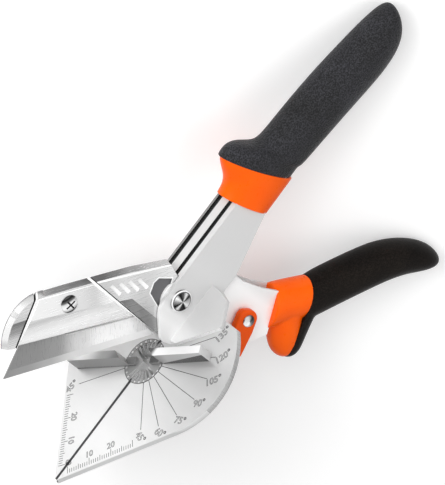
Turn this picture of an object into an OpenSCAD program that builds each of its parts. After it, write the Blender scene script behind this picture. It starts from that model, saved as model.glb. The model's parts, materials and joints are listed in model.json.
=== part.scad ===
/* [Cutting plate] */
// Distance from the turntable centre to the pointed tip of the plate
plate_reach = 55.5; // [50:0.5:66]
// Half width of the plate across the blade slot
plate_half_width = 44; // [38:0.5:54]
// Half length of the round part of the plate
plate_half_length = 34; // [32:0.5:40]
// Thickness of the plate
plate_t = 2.4; // [2:0.1:3]
// Room for the blade across its slot in the plate
slot_clearance = 0.6; // [0.4:0.1:1]

/* [Turntable and fence] */
// Radius of the slit disc in the plate
disc_r = 8; // [7:0.1:9]
// Height of the fence wings above the plate
fence_h = 7; // [5:0.1:9]
// Reach of each fence wing from the disc centre
fence_reach = 32; // [26:0.5:36]
// Angle between the fence and the blade line at rest
fence_angle = 120; // [45:15:135]
// Lowest and highest marked angles are this far from square
fence_swing = 45; // [30:15:45]

/* [Blade] */
// Length of the cutting edge
blade_edge = 65; // [60:0.5:70]
// Width of the blade from edge to back
blade_w = 19; // [17:0.5:20]
// Thickness of the blade
blade_t = 0.7; // [0.5:0.05:0.9]
// Angle that the blade arm swings to close
jaw_swing = 39.4; // [30:0.1:42]

/* [Frame] */
// Outer width of the upper channel
channel_w = 12; // [11:0.1:14]
// Thickness of the upper channel's sheet
channel_t = 1.5; // [1.2:0.1:1.5]
// Thickness of the lower channel's sheet
arm_t = 1.3; // [1:0.1:1.5]
// Radius of the main pivot bolt
pivot_r = 2.5; // [2:0.1:3.5]

/* [Handles] */
// Rubber on each side of the upper channel
upper_grip_wall = 2.6; // [2:0.1:4]
// Rubber on each side of the lower channel
lower_grip_wall = 3.7; // [3:0.1:5]

/* [Hidden] */
$fn = 72;

// Lengths shared by several parts
gap = 0.1;
fit = 0.05;
cut = 1;
half_out = channel_w / 2;
half_in = half_out - channel_t;
arm_gap = 0.2;
half_arm = half_in - arm_gap;
half_tang = half_arm - arm_t - gap;
half_head = half_in - 0.3;
plate_center_x = 5;
plate_rear_x = 30;
notch_x = 13;
through_slot_x = -45;
foot_t = 1.6;
slot_w = blade_t + slot_clearance;
upper_grip_half = half_out + upper_grip_wall;
lower_grip_half = half_arm + lower_grip_wall;

// Pivot and blade line, with the jaw open
pivot = [26, 9.4];
closed_angle = -3.6;
blade_angle = closed_angle - jaw_swing;
pivot_on_blade = [blade_edge + 7.4, 14.2];

// Height of the cutting edge over the plate's top at x, with the jaw closed
function edge_y(x) = pivot[1] - pivot_on_blade[1] / cos(closed_angle)
    + (x - pivot[0]) * tan(closed_angle);

// Turntable under the plate
disc_gap = 0.1;
flange_r = disc_r + 2.5;
flange_top = -plate_t - gap;
flange_t = 2.6;
washer_t = 0.5;
cup_gap = 0.2;
cup_wall = 3.3;
carrier_t = 5;
carrier_bottom = -plate_t - carrier_t;
slit_w = blade_t + 0.2;
slit_depth = fit - edge_y(flange_r);
fence_t = 3.2;
fence_inner = disc_r - 1.5;
screw_r = 1.25;

// Latch, on the near face of the lower channel
latch_at = [35, -22.2];
latch_t = 3;
latch_z = half_arm + 0.3;

// Handles
upper_end_x = 130;
web_y = 16.1;
lower_angle = -39.8;
lower_at = [48, -36.4];

// Return spring, from the tang to the upper channel's web
spring_top = [43, web_y - channel_t - gap];
spring_seat = [35.4, -6.6];
spring_r = half_tang - gap;
spring_across = [spring_seat[1] - spring_top[1], spring_top[0] - spring_seat[0]];

function beside_spring(side) = spring_seat + side * spring_across / norm(spring_across);

// The tool lies on its far side, touching at the plate rim and at both grips
rest_rim = [rim_point(-81)[0], -plate_t, rim_point(-81)[1]];
rest_upper = [155, 4.3, 1.33 - upper_grip_half];
rest_lower = [91.4, -83.5, 2.03 - lower_grip_half];
rest_normal = cross(rest_lower - rest_rim, rest_upper - rest_rim);
rest_up = rest_normal / norm(rest_normal) * sign(rest_normal[2]);
rest_turn = acos(rest_up[2]);
rest_axis = cross(rest_up, [0, 0, 1]);

// Moves the middle of the footprint to the origin, and the rest points to Z = 0
footprint_shift = [-51.4, 7.7];

module laid() {
    translate([footprint_shift[0], footprint_shift[1], -rest_up * rest_rim])
        rotate(a = rest_turn, v = rest_axis)
            children();
}

// Shapes -------------------------------------------------------------

// A flat shape lying in the plate's plane, from height top down by t
module flat(top, t) {
    translate([0, top, 0])
        rotate([90, 0, 0])
            linear_extrude(t)
                children();
}

// A round bar standing on the plate's plane, from height top down by t
module post(x, z, top, t, r) {
    translate([x, top, z])
        rotate([90, 0, 0])
            cylinder(h = t, r = r);
}

// A flat shape in the blade's plane, between two distances from it
module slab(z_low, z_high) {
    translate([0, 0, z_low])
        linear_extrude(z_high - z_low)
            children();
}

// Two equal slabs, one on each side of the blade's plane
module both_slabs(z_low, z_high) {
    slab(z_low, z_high)
        children();
    slab(-z_high, -z_low)
        children();
}

// The blade's own frame: origin at the tip, X along the edge, Y to the back
module on_blade_line() {
    translate([pivot[0], pivot[1], 0])
        rotate(blade_angle)
            translate([-pivot_on_blade[0], -pivot_on_blade[1], 0])
                children();
}

// The lower grip's own frame: X along the grip
module on_lower_grip() {
    translate([lower_at[0], lower_at[1], 0])
        rotate(lower_angle)
            children();
}

// Everything past a plane through [x, y] that leans over by the given angle
module beyond(x, y, lean) {
    translate([x, y, 0])
        rotate(lean)
            translate([0, -100, -50])
                cube([150, 200, 100]);
}

module before(x, y, lean) {
    translate([x, y, 0])
        rotate(lean)
            translate([-150, -100, -50])
                cube([150, 200, 100]);
}

// An egg-shaped station for the grips and collars
module egg(x, y, long, tall, thick) {
    translate([x, y, 0])
        scale([long, tall, thick])
            sphere(1, $fn = 32);
}

// Cutting plate and turntable -----------------------------------------

function plate_tangent() = plate_half_length * plate_half_length / (plate_reach + plate_center_x);
function plate_tangent_angle() = acos(-plate_tangent() / plate_half_length);
function rim_point(a) = [
    plate_center_x + plate_half_length * cos(a),
    plate_half_width * sin(a)
];

module plate_outline() {
    last = plate_tangent_angle();
    steps = 40;
    intersection() {
        polygon(concat(
            [[-plate_reach, 0]],
            [for (i = [0:steps]) rim_point(-last + 2 * last * i / steps)]
        ));
        translate([-plate_reach, -plate_half_width])
            square([plate_reach + plate_rear_x, 2 * plate_half_width]);
    }
}

plate_screw_spots = [
    for (side = [1, -1]) each [[15.2, side * (half_out + 2.6)], [22.5, side * (half_out + 10)]]
];

module cutting_plate() {
    color("gainsboro") laid() difference() {
        flat(0, plate_t)
            plate_outline();
        post(0, 0, cut, plate_t + 2 * cut, disc_r + disc_gap);
        flat(cut, plate_t + 2 * cut)
            translate([through_slot_x, -slot_w / 2])
                square([notch_x - through_slot_x, slot_w]);
        flat(cut, cut + plate_t / 2)
            translate([-plate_reach - cut, -slot_w / 2])
                square([plate_reach, slot_w]);
        flat(cut, plate_t + 2 * cut)
            translate([notch_x, -half_in])
                square([plate_rear_x, 2 * half_in]);
        for (s = plate_screw_spots)
            post(s[0], s[1], cut, plate_t + 2 * cut, screw_r + fit);
    }
}

carrier_w = 41;
carrier_rear_x = 26;
carrier_notch_x = 17.5;
head_r = 2.3;
head_t = 1.3;
head_bottom = carrier_bottom + 0.1;

module carrier_outline() {
    circle(flange_r + cup_wall);
    translate([0, -carrier_w / 2])
        square([carrier_rear_x, carrier_w]);
}

module plate_carrier() {
    cup_depth = flange_t + washer_t + 2 * gap;
    color("dimgray") laid() difference() {
        flat(-plate_t, carrier_t)
            carrier_outline();
        post(0, 0, -plate_t + cut, cup_depth + cut, flange_r + cup_gap);
        post(0, 0, 0, carrier_t + plate_t + cut, disc_r - 2);
        flat(0, fit - edge_y(pivot[0]))
            translate([-flange_r - cup_wall - cut, -slot_w / 2])
                square([flange_r + cup_wall + cut + carrier_rear_x, slot_w]);
        flat(0, plate_t + carrier_t + cut)
            translate([carrier_notch_x, -half_in])
                square([10, 2 * half_in]);
        for (s = plate_screw_spots) {
            post(s[0], s[1], 0, carrier_t + plate_t + cut, screw_r + fit);
            post(s[0], s[1], head_bottom + head_t + gap, carrier_t, head_r + gap);
        }
    }
}

screw_top = foot_t - 0.4;

module plate_screws() {
    color("silver") laid() for (s = plate_screw_spots) {
        difference() {
            post(s[0], s[1], head_bottom + head_t, head_t, head_r);
            translate([s[0] - 0.4, head_bottom - cut, s[1] - 3])
                cube([0.8, cut + 0.6, 6]);
        }
        post(s[0], s[1], screw_top, screw_top - head_bottom - head_t, screw_r);
    }
}

module fence_slits() {
    for (i = [0:6]) {
        a = -fence_swing + i * fence_swing / 3;
        rotate(a - (fence_angle - 90))
            translate([-flange_r - cut, -slit_w / 2])
                square([2 * (flange_r + cut), slit_w]);
    }
}

// Turns flat shapes so that +X runs along the fence's near wing
module along_fence() {
    rotate(180 - fence_angle)
        children();
}

fence_screw_at = disc_r - 2.9;
fence_pin_r = 0.8;
fence_pin_head = [1.5, 1];
fence_head_top = flange_top - flange_t + fence_pin_head[1] + 0.15;

module slit_disc() {
    color("gray") laid() difference() {
        union() {
            post(0, 0, 0, -flange_top + gap, disc_r);
            post(0, 0, flange_top, flange_t, flange_r);
        }
        flat(cut, cut + slit_depth)
            intersection() {
                fence_slits();
                circle(flange_r + cut);
            }
        for (side = [0, 180])
            flat(cut, 10)
                along_fence()
                    rotate(side)
                        translate([fence_screw_at, 0])
                            circle(fence_pin_r + fit);
        for (side = [0, 180])
            flat(fence_head_top + fit, flange_t)
                along_fence()
                    rotate(side)
                        translate([fence_screw_at, 0])
                            circle(fence_pin_head[0] + gap);
    }
}

module disc_spring_washer() {
    color("silver") laid() difference() {
        post(0, 0, flange_top - flange_t - gap, washer_t, flange_r - 0.5);
        post(0, 0, 0, 20, disc_r - 1);
    }
}

// A wing: upright wall with a bevelled inner end and a low foot on the disc
module fence_wing() {
    difference() {
        union() {
            flat(fence_h, fence_h - gap)
                along_fence()
                    polygon([
                        [fence_inner, -fence_t / 2], [fence_reach, -fence_t / 2],
                        [fence_reach, fence_t / 2], [fence_inner + fence_t, fence_t / 2]
                    ]);
            flat(1.4, 1.4)
                along_fence()
                    translate([fence_screw_at - 1.5, -1.5])
                        square([fence_inner + fence_t - fence_screw_at, 3]);
        }
        flat(1, 2)
            along_fence()
                translate([fence_screw_at, 0])
                    circle(fence_pin_r + fit);
    }
}

module fence_right() {
    color("whitesmoke") laid()
        fence_wing();
}

module fence_left() {
    color("whitesmoke") laid()
        rotate([0, 180, 0])
            fence_wing();
}

module fence_screws() {
    color("silver") laid() for (side = [0, 180]) {
        flat(0.95, 0.95 - fence_head_top)
            along_fence()
                rotate(side)
                    translate([fence_screw_at, 0])
                        circle(fence_pin_r);
        flat(fence_head_top, fence_pin_head[1])
            along_fence()
                rotate(side)
                    translate([fence_screw_at, 0])
                        circle(fence_pin_head[0]);
    }
}

// Upper frame ----------------------------------------------------------

shank_top = [[33, web_y], [84, web_y], [92, 14.6], [upper_end_x, 11.6]];
shank_bottom = [[upper_end_x, 4.6], [74, 4.4], [70.4, 1.8], [45.8, -5.2], [37.9, -5.2]];

module channel_side() {
    polygon(concat(
        [[12, 0], [10.6, 5.5], [17.2, 14], [20.5, 15.8]],
        shank_top, shank_bottom,
        [[36.3, -10.6], [33.5, -10.6], [31, -5], [31, 0]]
    ));
}

// Everything between the two sides except the web along the top
module channel_inside() {
    below = [0, channel_t];
    polygon(concat(
        [[5, 30], [shank_top[0][0], 30]],
        [for (p = shank_top) p - below],
        [[upper_end_x + cut, 10], [upper_end_x + cut, -20], [5, -20]]
    ));
}

module foot_outline() {
    polygon([
        [12, half_in], [12, half_out + 3], [26.6, half_out + 17.6], [28, half_out + 17.6],
        [36.3, half_out + 11.7], [37.6, half_out + 5.8], [37.6, half_in]
    ]);
}

module upper_channel() {
    color("lightgray") laid() difference() {
        union() {
            difference() {
                slab(-half_out, half_out)
                    channel_side();
                slab(-half_in, half_in)
                    channel_inside();
            }
            for (side = [0, 1])
                mirror([0, 0, side])
                    flat(foot_t, foot_t)
                        foot_outline();
        }
        translate([pivot[0], pivot[1], -half_out - cut])
            cylinder(h = channel_w + 2 * cut, r = pivot_r + fit);
        for (s = plate_screw_spots)
            post(s[0], s[1], screw_top + gap, foot_t + cut, screw_r + fit);
    }
}

collar_front = [69, 7];
collar_back = [85.6, 4];
collar_front_lean = 13;
collar_back_lean = 17;

module upper_collar() {
    color("orangered") laid() difference() {
        hull() {
            egg(68, 10, 6, 9.9, half_out + 1.6);
            egg(70, 5.2, 5, 5.6, half_out + 1.2);
            egg(79, 26.4, 3.4, 4.4, 5);
            egg(88, 5.2, 4, 5.6, half_out + 1.2);
            egg(84, 13, 5, 11, half_out + 2.2);
        }
        slab(-half_out, half_out)
            channel_side();
        before(collar_front[0], collar_front[1], collar_front_lean);
        beyond(collar_back[0], collar_back[1], collar_back_lean);
    }
}

module upper_grip() {
    tall = 10.9;
    color([0.12, 0.12, 0.12]) laid() difference() {
        union() {
            hull() {
                egg(81, 27, 4.8, 5.2, 5.2);
                egg(85.6, 16, 5, 8, half_out + 2);
            }
            hull() {
                egg(87.6, 8.6, 7, 9.6, upper_grip_half);
                egg(106, 8.8, 8, tall, upper_grip_half);
                egg(122, 7.4, 8, tall, upper_grip_half);
            }
            hull() {
                egg(122, 7.4, 8, tall, upper_grip_half);
                egg(140, 5.4, 8, tall - 0.5, upper_grip_half);
                egg(153, 5.6, 8, 8, upper_grip_half - 1);
            }
        }
        slab(-half_out, half_out)
            channel_side();
        before(collar_back[0], collar_back[1], collar_back_lean);
    }
}

// Main pivot -------------------------------------------------------------

cap_t = 2.2;
cap_r = pivot_r + 1.7;

module pivot_bolt() {
    color("silver") laid() translate([pivot[0], pivot[1], 0]) {
        translate([0, 0, half_out])
            cylinder(h = cap_t, r = cap_r);
        translate([0, 0, -half_out - cap_t])
            cylinder(h = channel_w + cap_t, r = pivot_r);
    }
}

module pivot_nut() {
    color("silver") laid() translate([pivot[0], pivot[1], 0]) difference() {
        translate([0, 0, -half_out - cap_t])
            cylinder(h = cap_t, r = pivot_r + 1.9, $fn = 6);
        translate([0, 0, -half_out - cap_t - cut])
            cylinder(h = cap_t + 2 * cut, r = pivot_r);
    }
}

module pivot_washers() {
    color("white") laid() translate([pivot[0], pivot[1], 0])
        for (side = [0, 1])
            mirror([0, 0, side])
                translate([0, 0, half_arm + 0.02])
                    difference() {
                        cylinder(h = half_in - half_arm - 0.04, r = pivot_r + 3.5);
                        translate([0, 0, -cut])
                            cylinder(h = 3, r = pivot_r + fit);
                    }
}

// Blade arm ----------------------------------------------------------------

// The nose and top of the blade holder, and then its rear and lower edge
holder_top = [
    [-3, 16.5], [-2, 23.6], [1.6, 30.2], [7, 33.8], [13.6, 35.2], [26, 34.8],
    [blade_edge - 12.4, 33.4], [blade_edge + 3.8, 31.4]
];
holder_rest = [
    [blade_edge + 7.8, 23.2], [blade_edge + 1, 14], [blade_edge + 1, 4],
    [blade_edge - 3, 3.8], [blade_edge - 11.4, 12.4], [2, 15.6]
];
near_bevel = 1.7;
ridge_z = half_head - near_bevel;
cover_outline = [
    [2.6, 15.6], [12.6, 32.8], [blade_edge - 29.6, 31.4], [blade_edge - 11.6, 12.6]
];
cover_screw_at = [25.6, 26.7];

module blade_outline(grow) {
    slope = 15;
    polygon([
        [-grow, -grow], [blade_edge + grow, -grow],
        [blade_edge - slope + grow, blade_w + grow], [slope - grow, blade_w + grow]
    ]);
}

// The lower channel's closed side, and then its open side
lower_web = [
    [22.2, -5], [25.5, -20], [29, -32], [34.6, -36.4], [43.2, -41.9], [64.4, -57], [84.7, -73.2]
];
lower_open = [
    [89.5, -67.5], [69.4, -49.4], [54.2, -38], [50.7, -28.7], [47.8, -21], [45.6, -11.4],
    [45.8, -6.8], [37, 4.5], [31.5, 12.5]
];

module lower_side() {
    polygon(concat([[19.3, 5.4]], lower_web, lower_open));
    translate(pivot)
        circle(7.4);
}

// Everything between the lower channel's two sides except its web
module lower_inside() {
    inward = arm_t * [0.85, 0.8];
    polygon(concat(
        [[12, 22], [12, lower_web[0][1] + inward[1]]],
        [for (p = lower_web) p + inward],
        [[100, -70], [70, -10], [40, 22]]
    ));
}

module holder_tang() {
    polygon([
        [20, 8], [21.5, 0], [24.3, -4], [27.4, -14.5], [32.5, -12.6], [38.6, -10.6],
        beside_spring(-spring_r - 0.9), beside_spring(spring_r + 0.4), [33, 9]
    ]);
    translate(pivot)
        circle(7);
}

module blade_holder() {
    color("silver") laid() difference() {
        union() {
            difference() {
                on_blade_line()
                    slab(-half_head, half_head)
                        polygon(concat(holder_top, holder_rest));
                both_slabs(half_tang, half_head + cut)
                    offset(delta = 0.25)
                        lower_side();
            }
            slab(-half_tang, half_tang)
                holder_tang();
        }
        on_blade_line() {
            translate([0, 0, -blade_t / 2 - 0.02])
                linear_extrude(half_head + 2)
                    offset(delta = 0.1)
                        polygon(cover_outline);
            slab(-blade_t / 2 - 0.02, blade_t / 2 + 0.02)
                blade_outline(0.1);
            translate([cover_screw_at[0], cover_screw_at[1], -half_head - cut])
                cylinder(h = 20, r = 1.5 + fit);
            translate([cover_screw_at[0], cover_screw_at[1], -half_head - cut])
                cylinder(h = cut + 1.6, r = 3.1, $fn = 6);
            for (i = [1:len(holder_top) - 1]) {
                along = holder_top[i] - holder_top[i - 1];
                for (tilt = [45, -45])
                    translate([holder_top[i][0], holder_top[i][1], ridge_z])
                        rotate(atan2(along[1], along[0]))
                            rotate([tilt, 0, 0])
                                translate([-100, 0, -20])
                                    cube([200, 20, 40]);
            }
        }
        translate([pivot[0], pivot[1], -half_head - cut])
            cylinder(h = 20, r = pivot_r + 1 + fit);
        for (p = arm_rivet_spots)
            translate([p[0], p[1], -half_head - cut])
                cylinder(h = 20, r = 1.5 + fit);
    }
}

module blade() {
    color("silver") laid() on_blade_line() difference() {
        slab(-blade_t / 2, blade_t / 2)
            blade_outline(0);
        translate([cover_screw_at[0] - 2, blade_w, -cut])
            cylinder(h = 2 * cut, r = 2.2);
        translate([blade_edge - 24, blade_w, -cut])
            cylinder(h = 2 * cut, r = 2.2);
    }
}

module blade_cover() {
    color("silver") laid() on_blade_line() difference() {
        slab(blade_t / 2 + 0.02, half_head)
            polygon(cover_outline);
        translate([cover_screw_at[0], cover_screw_at[1], -cut])
            cylinder(h = 20, r = 1.5 + fit);
    }
}

module cover_screw() {
    color("silver") laid() on_blade_line()
        translate([cover_screw_at[0], cover_screw_at[1], 0])
            difference() {
                union() {
                    translate([0, 0, -half_head + 0.2])
                        cylinder(h = 2 * half_head, r = 1.5);
                    translate([0, 0, half_head])
                        cylinder(h = 1, r = 3.6);
                    translate([0, 0, half_head + 1])
                        cylinder(h = 1, r1 = 3.6, r2 = 2.4);
                }
                for (a = [45, 135])
                    rotate(a)
                        translate([-2, -0.4, half_head + 0.8])
                            cube([4, 0.8, 3]);
            }
}

module cover_nut() {
    color("silver") laid() on_blade_line()
        translate([cover_screw_at[0], cover_screw_at[1], -half_head])
            difference() {
                cylinder(h = 1.55, r = 3, $fn = 6);
                translate([0, 0, -cut])
                    cylinder(h = 4, r = 1.5);
            }
}

module pivot_bush() {
    color("goldenrod") laid() translate([pivot[0], pivot[1], -half_arm]) difference() {
        cylinder(h = 2 * half_arm, r = pivot_r + 1);
        translate([0, 0, -cut])
            cylinder(h = 2 * half_arm + 2 * cut, r = pivot_r + fit);
    }
}

arm_rivet_spots = [[28.8, -10], [30, -0.5]];

module lower_channel() {
    color("gainsboro") laid() difference() {
        slab(-half_arm, half_arm)
            lower_side();
        slab(-half_arm + arm_t, half_arm - arm_t)
            lower_inside();
        translate([pivot[0], pivot[1], -half_head - cut])
            cylinder(h = 20, r = pivot_r + 1 + fit);
        for (p = arm_rivet_spots)
            translate([p[0], p[1], -half_head - cut])
                cylinder(h = 20, r = 1.5 + fit);
        translate([latch_at[0], latch_at[1], 0])
            cylinder(h = 20, r = 1.6 + fit);
    }
}

module arm_rivets() {
    color("silver") laid() for (p = arm_rivet_spots)
        translate([p[0], p[1], -half_arm])
            cylinder(h = 2 * half_arm, r = 1.5);
}

grip_front = [6, -3];
grip_lean = -29;

module lower_collar() {
    color("orangered") laid() difference() {
        on_lower_grip() difference() {
            hull() {
                egg(-3, 4, 6, 7.4, half_arm + 2.7);
                egg(6, 0.6, 12, 7.6, half_arm + 3.5);
                egg(-4.5, -13.5, 5, 5, 5.6);
            }
            before(-8, -1, -22);
            beyond(grip_front[0], grip_front[1], grip_lean);
        }
        slab(-half_arm, half_arm)
            lower_side();
    }
}

module lower_grip() {
    tall = 7.6;
    color([0.15, 0.14, 0.13]) laid() difference() {
        on_lower_grip() union() {
            difference() {
                hull() {
                    egg(9, -1, 6, 7.4, lower_grip_half - 0.4);
                    egg(1.2, -18.2, 4.6, 4.6, 5.2);
                }
                before(grip_front[0], grip_front[1], grip_lean);
            }
            difference() {
                hull() {
                    egg(14, -0.2, 10, tall, lower_grip_half);
                    egg(42, 0.4, 8, tall, lower_grip_half);
                }
                before(grip_front[0], grip_front[1], grip_lean);
            }
            hull() {
                egg(42, 0.4, 8, tall, lower_grip_half);
                egg(54, 0, 7, tall - 0.4, lower_grip_half - 0.4);
                egg(59.6, -3.2, 5, 7, lower_grip_half - 1);
            }
            hull() {
                egg(59.6, -3.2, 5, 7, lower_grip_half - 1);
                egg(63.2, -8.4, 3, 3, lower_grip_half - 2);
            }
        }
        slab(-half_arm, half_arm)
            lower_side();
    }
}

// Return spring ------------------------------------------------------------

spring_wire = 0.8;
spring_mean_r = spring_r - spring_wire / 2;
spring_turns = 7;
spring_steps = 24;

function spring_length() = norm(spring_top - spring_seat) - spring_wire;
function coil_point(a, b) = let(
    r = spring_mean_r + spring_wire / 2 * cos(b),
    climb = spring_length() / (360 * spring_turns)
) [r * cos(a), r * sin(a), a * climb + spring_wire / 2 * sin(b) + spring_wire / 2];

module return_spring() {
    sides = 8;
    rings = spring_turns * spring_steps;
    points = [for (i = [0:rings]) for (k = [0:sides - 1])
        coil_point(i * 360 / spring_steps, k * 360 / sides)];
    walls = [for (i = [0:rings - 1]) for (k = [0:sides - 1]) let(n = (k + 1) % sides)
        [i * sides + k, (i + 1) * sides + k, (i + 1) * sides + n, i * sides + n]];
    ends = [
        [for (k = [0:sides - 1]) k],
        [for (k = [0:sides - 1]) rings * sides + sides - 1 - k]
    ];
    lean = spring_top - spring_seat;
    color("silver") laid()
        translate([spring_seat[0], spring_seat[1], 0])
            rotate(atan2(lean[1], lean[0]))
                rotate([0, 90, 0])
                    polyhedron(points, concat(walls, ends));
}

// Latch -----------------------------------------------------------------------

module latch_outline() {
    polygon(concat(
        [for (a = [-75:11.5:40]) 4.2 * [cos(a), sin(a)]],
        [[2.3, 4.4], [0, 5], [-5, 3.2], [-13, -6.4], [-12.6, -8.2], [-2.6, -5.6]]
    ));
}

module latch_lever() {
    color("orangered") laid() translate([latch_at[0], latch_at[1], latch_z]) difference() {
        linear_extrude(latch_t)
            latch_outline();
        translate([0, 0, -cut])
            cylinder(h = latch_t + 2 * cut, r = 1.6 + fit);
    }
}

module latch_rivet() {
    color("silver") laid() translate([latch_at[0], latch_at[1], 0]) {
        translate([0, 0, half_arm - arm_t - 0.6])
            cylinder(h = 0.6, r = 2.2);
        translate([0, 0, half_arm - arm_t])
            cylinder(h = latch_z + latch_t - half_arm + arm_t + 0.1, r = 1.6);
        translate([0, 0, latch_z + latch_t + 0.1])
            cylinder(h = 1, r1 = 2.5, r2 = 1.9);
    }
}

module latch_washer() {
    color("silver") laid() translate([latch_at[0], latch_at[1], half_arm]) difference() {
        cylinder(h = latch_z - half_arm - 0.05, r = 3);
        translate([0, 0, -cut])
            cylinder(h = 3, r = 1.6 + fit);
    }
}

cutting_plate();
plate_carrier();
plate_screws();
upper_channel();
upper_collar();
upper_grip();
pivot_bolt();
pivot_nut();
pivot_washers();
slit_disc();
disc_spring_washer();
fence_left();
fence_right();
fence_screws();
blade_holder();
blade();
blade_cover();
cover_screw();
cover_nut();
pivot_bush();
lower_channel();
arm_rivets();
lower_collar();
lower_grip();
return_spring();
latch_lever();
latch_rivet();
latch_washer();
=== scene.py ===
import json
import math

import bmesh
import bpy
from mathutils import Matrix, Vector

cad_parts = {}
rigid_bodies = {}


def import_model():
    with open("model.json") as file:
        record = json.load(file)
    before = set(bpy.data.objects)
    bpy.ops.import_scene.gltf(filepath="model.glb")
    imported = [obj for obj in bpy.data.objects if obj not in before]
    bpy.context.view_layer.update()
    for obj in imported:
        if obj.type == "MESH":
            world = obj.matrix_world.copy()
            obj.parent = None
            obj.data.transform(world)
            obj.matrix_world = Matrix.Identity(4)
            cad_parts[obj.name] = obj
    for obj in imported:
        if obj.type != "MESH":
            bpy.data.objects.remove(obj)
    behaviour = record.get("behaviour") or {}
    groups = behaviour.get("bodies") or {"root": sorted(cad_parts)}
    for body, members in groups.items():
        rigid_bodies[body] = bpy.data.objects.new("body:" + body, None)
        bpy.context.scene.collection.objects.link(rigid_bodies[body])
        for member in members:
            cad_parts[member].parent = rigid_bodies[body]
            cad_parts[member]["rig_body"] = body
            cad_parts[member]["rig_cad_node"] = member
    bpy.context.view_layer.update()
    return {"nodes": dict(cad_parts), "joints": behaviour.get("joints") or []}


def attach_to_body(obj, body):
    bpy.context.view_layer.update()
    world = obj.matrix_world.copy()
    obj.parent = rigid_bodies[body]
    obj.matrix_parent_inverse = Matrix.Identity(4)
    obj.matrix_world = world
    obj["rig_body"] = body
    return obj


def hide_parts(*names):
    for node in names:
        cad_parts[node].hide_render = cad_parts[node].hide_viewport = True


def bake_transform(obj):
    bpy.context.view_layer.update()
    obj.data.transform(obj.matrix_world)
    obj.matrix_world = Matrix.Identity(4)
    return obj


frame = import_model()
mm = 0.001

joints = {joint["name"]: joint for joint in frame["joints"]}
yAxis = Vector(joints["fence_turn"]["axis"]).normalized()
zAxis = Vector(joints["jaw_close"]["axis"]).normalized()
xAxis = yAxis.cross(zAxis).normalized()
toolOrigin = Vector(joints["fence_turn"]["pos_m"])
toolFrame = Matrix.Translation(toolOrigin) @ Matrix((xAxis, yAxis, zAxis)).transposed().to_4x4()
pivotAt = toolFrame.inverted() @ Vector(joints["jaw_close"]["pos_m"])
latchAt = toolFrame.inverted() @ Vector(joints["latch_swing"]["pos_m"])


def moved(matrix, x, y, z=0):
    return matrix @ Matrix.Translation((x * mm, y * mm, z * mm))


def rolled(matrix, degrees, axis="Z"):
    return matrix @ Matrix.Rotation(math.radians(degrees), 4, axis)


# places in millimetres and leans in degrees, in the tool's own frame
layout = {"bladeLean": -43, "bladeFromPivot": (-72.4, -14.2), "grip": (48, -36.4), "gripLean": -39.8}
pivotFrame = toolFrame @ Matrix.Translation(pivotAt)
latchFrame = toolFrame @ Matrix.Translation(latchAt)
bladeFrame = moved(rolled(pivotFrame, layout["bladeLean"]), *layout["bladeFromPivot"])
gripFrame = rolled(moved(toolFrame, *layout["grip"]), layout["gripLean"])
discFrame = rolled(toolFrame, -90, "X")
print("frames ready")


def objectMode():
    if bpy.context.object and bpy.context.object.mode != "OBJECT":
        bpy.ops.object.mode_set(mode="OBJECT")


def deselectAll():
    objectMode()
    bpy.ops.object.select_all(action="DESELECT")


def pick(piece):
    deselectAll()
    piece.select_set(True)
    bpy.context.view_layer.objects.active = piece
    return piece


def editAll(piece):
    pick(piece)
    bpy.ops.object.mode_set(mode="EDIT")
    bpy.ops.mesh.select_all(action="SELECT")


def named(name, material=None):
    piece = bpy.context.object
    piece.name = name
    piece.data.name = name
    if material:
        piece.data.materials.append(material)
    return piece


def apply(piece, kind, **settings):
    pick(piece)
    bpy.ops.object.modifier_add(type=kind)
    modifier = piece.modifiers[-1]
    for key, value in settings.items():
        setattr(modifier, key, value)
    bpy.ops.object.modifier_apply(modifier=modifier.name)


def softEdges(piece, width, segments=2, angle=28):
    apply(piece, "BEVEL", width=width * mm, segments=segments, limit_method="ANGLE",
          angle_limit=math.radians(angle), miter_outer="MITER_ARC", harden_normals=False)


def smooth(piece, angle=32):
    pick(piece)
    bpy.ops.object.shade_smooth_by_angle(angle=math.radians(angle))


def selectOnly(piece, kind, chosen):
    # opens a piece and selects its points, edges or faces that pass a test
    editAll(piece)
    bpy.ops.mesh.select_all(action="DESELECT")
    bpy.ops.mesh.select_mode(type=kind)
    shape = bmesh.from_edit_mesh(piece.data)
    for element in {"VERT": shape.verts, "EDGE": shape.edges, "FACE": shape.faces}[kind]:
        if chosen(element):
            element.select = True
    bmesh.update_edit_mesh(piece.data)


# the area in square millimetres over which a face stays flat
broadFace = {"manySided": 4.0, "fourSided": 20.0}


def isBroad(face):
    limit = broadFace["manySided"] if len(face.verts) > 4 else broadFace["fourSided"]
    return face.calc_area() > limit * mm * mm


def evenFaces(piece, angle=32):
    # keeps broad flat faces flat next to their soft edges
    smooth(piece, angle)
    selectOnly(piece, "FACE", isBroad)
    bpy.ops.mesh.faces_shade_flat()
    objectMode()


def place(piece, matrix):
    pick(piece)
    piece.matrix_world = matrix @ piece.matrix_world
    bpy.ops.object.transform_apply(location=True, rotation=True, scale=True)


def cadCopy(node, name, material=None):
    pick(frame["nodes"][node])
    bpy.ops.object.duplicate()
    bpy.context.object.data.materials.clear()
    piece = named(name, material)
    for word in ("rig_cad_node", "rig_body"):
        if word in piece:
            del piece[word]
    piece.parent = None
    bpy.ops.mesh.customdata_custom_splitnormals_clear()
    editAll(piece)
    bpy.ops.mesh.remove_doubles(threshold=0.000004)
    bpy.ops.mesh.dissolve_limited(angle_limit=math.radians(0.6))
    objectMode()
    return piece


def flatGap(at, spot=(0, 0)):
    # how far a point is from a spot, in the X and Y of its frame
    return (Vector((at.x, at.y)) - Vector(spot)).length


def nearSpot(at, spots, within=0.2):
    return min(flatGap(at, spot) for spot in spots) < within


def fromDiscAxis(at):
    # how far a point in the tool's frame is from the axis that the fence turns on
    return Vector((at.x, at.z)).length


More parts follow.
